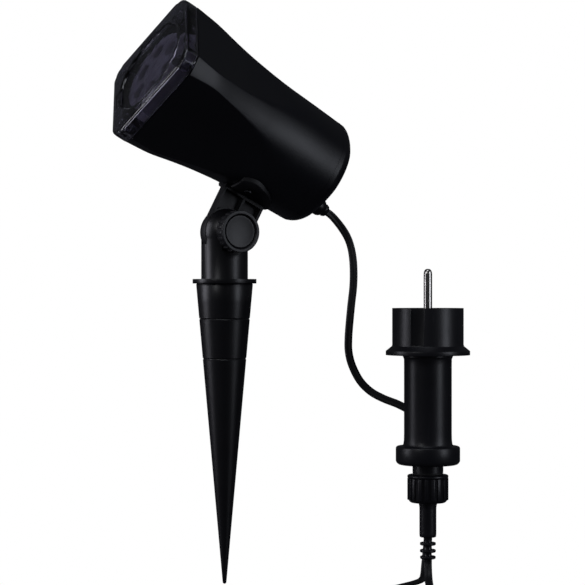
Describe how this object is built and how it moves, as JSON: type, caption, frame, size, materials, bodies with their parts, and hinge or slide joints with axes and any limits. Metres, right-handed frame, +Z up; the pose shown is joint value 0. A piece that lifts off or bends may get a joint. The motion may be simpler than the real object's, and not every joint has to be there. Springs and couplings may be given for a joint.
{
  "type": "light projector stake",
  "caption": "Garden light projector: square-nosed black lamp head with clear cover, tilting on a round stem over a conical ground spike, with flat cord and in-line plug.",
  "frame": {"origin": "centre of the collar's underside, on the stake's axis, where the ground surface meets it", "axes": "+Z up the stem, +Y along the tilt hinge away from the clamp knob, -X the way the beam leans out"},
  "size_m": [0.1759, 0.2069, 0.3017],
  "materials": {
    "black_satin": "satin black moulded plastic",
    "black_gloss": "semi-gloss black moulded plastic",
    "knob_grey": "satin dark grey plastic",
    "clear": "clear moulded acrylic",
    "lens_glass": "clear lens",
    "plate": "dark grey-violet plastic",
    "film": "tinted picture disc",
    "steel": "zinc plated",
    "aluminium": "raw",
    "rubber": "black rubber",
    "board_white": "white printed board",
    "board_green": "green printed board",
    "led": "lamp dies in clear resin",
    "parts": "wound and wrapped components",
    "motor_can": "pressed can",
    "plug_black": "blue-black moulded plastic",
    "nickel": "nickel plated brass",
    "cord_black": "black cord jacket"
  },
  "bodies": {
    "stake": {"ground_spike": "black_satin", "stem_post": "black_satin", "tilt_bolt": "steel", "bolt_washer": "steel", "plug_front": "plug_black", "plug_pins": "nickel", "plug_barrel": "plug_black", "power_board": "board_green", "power_parts": "parts", "outlet_neck": "plug_black", "neck_seal": "rubber", "strain_relief": "rubber", "cord_lamp_run": "cord_black", "cord_plug_run": "cord_black", "cord_coil": "cord_black", "cord_tie": "rubber"},
    "head": {"tilt_arm": "black_satin", "friction_washers": "rubber", "arm_screws": "steel", "head_shell": "black_gloss", "cover_gasket": "rubber", "front_cover": "clear", "lens_plate": "plate", "lenses": "lens_glass", "wheel_motor": "motor_can", "motor_bracket": "black_satin", "lamp_board": "board_white", "lamp_leds": "led", "heat_sink": "aluminium", "driver_board": "board_green", "driver_parts": "parts", "cable_gland": "rubber", "gland_nut": "black_satin"},
    "wheel": {"picture_wheel": "film", "motor_shaft": "steel"},
    "knob": {"tilt_knob": "knob_grey", "knob_nut": "steel", "knob_cap": "knob_grey"},
    "nut": {"coupling_nut": "plug_black"}
  },
  "joints": [
    {"name": "head_tilt", "type": "hinge", "parent": "stake", "child": "head", "pos_m": [0, 0, 0.0265], "axis": [0, 1, 0], "range_deg": [-58, 62], "deforming": ["cord_lamp_run"]},
    {"name": "knob_turn", "type": "hinge", "parent": "stake", "child": "knob", "pos_m": [0, 0, 0.0265], "axis": [0, 1, 0], "continuous": true},
    {"name": "wheel_spin", "type": "hinge", "parent": "head", "child": "wheel", "pos_m": [0.02535, 0, 0.07418], "axis": [-0.8829, 0, 0.4695], "continuous": true},
    {"name": "coupling_nut_turn", "type": "hinge", "parent": "stake", "child": "nut", "pos_m": [0.0925, -0.0513, -0.106], "axis": [0, 0, 1], "continuous": true}
  ]
}
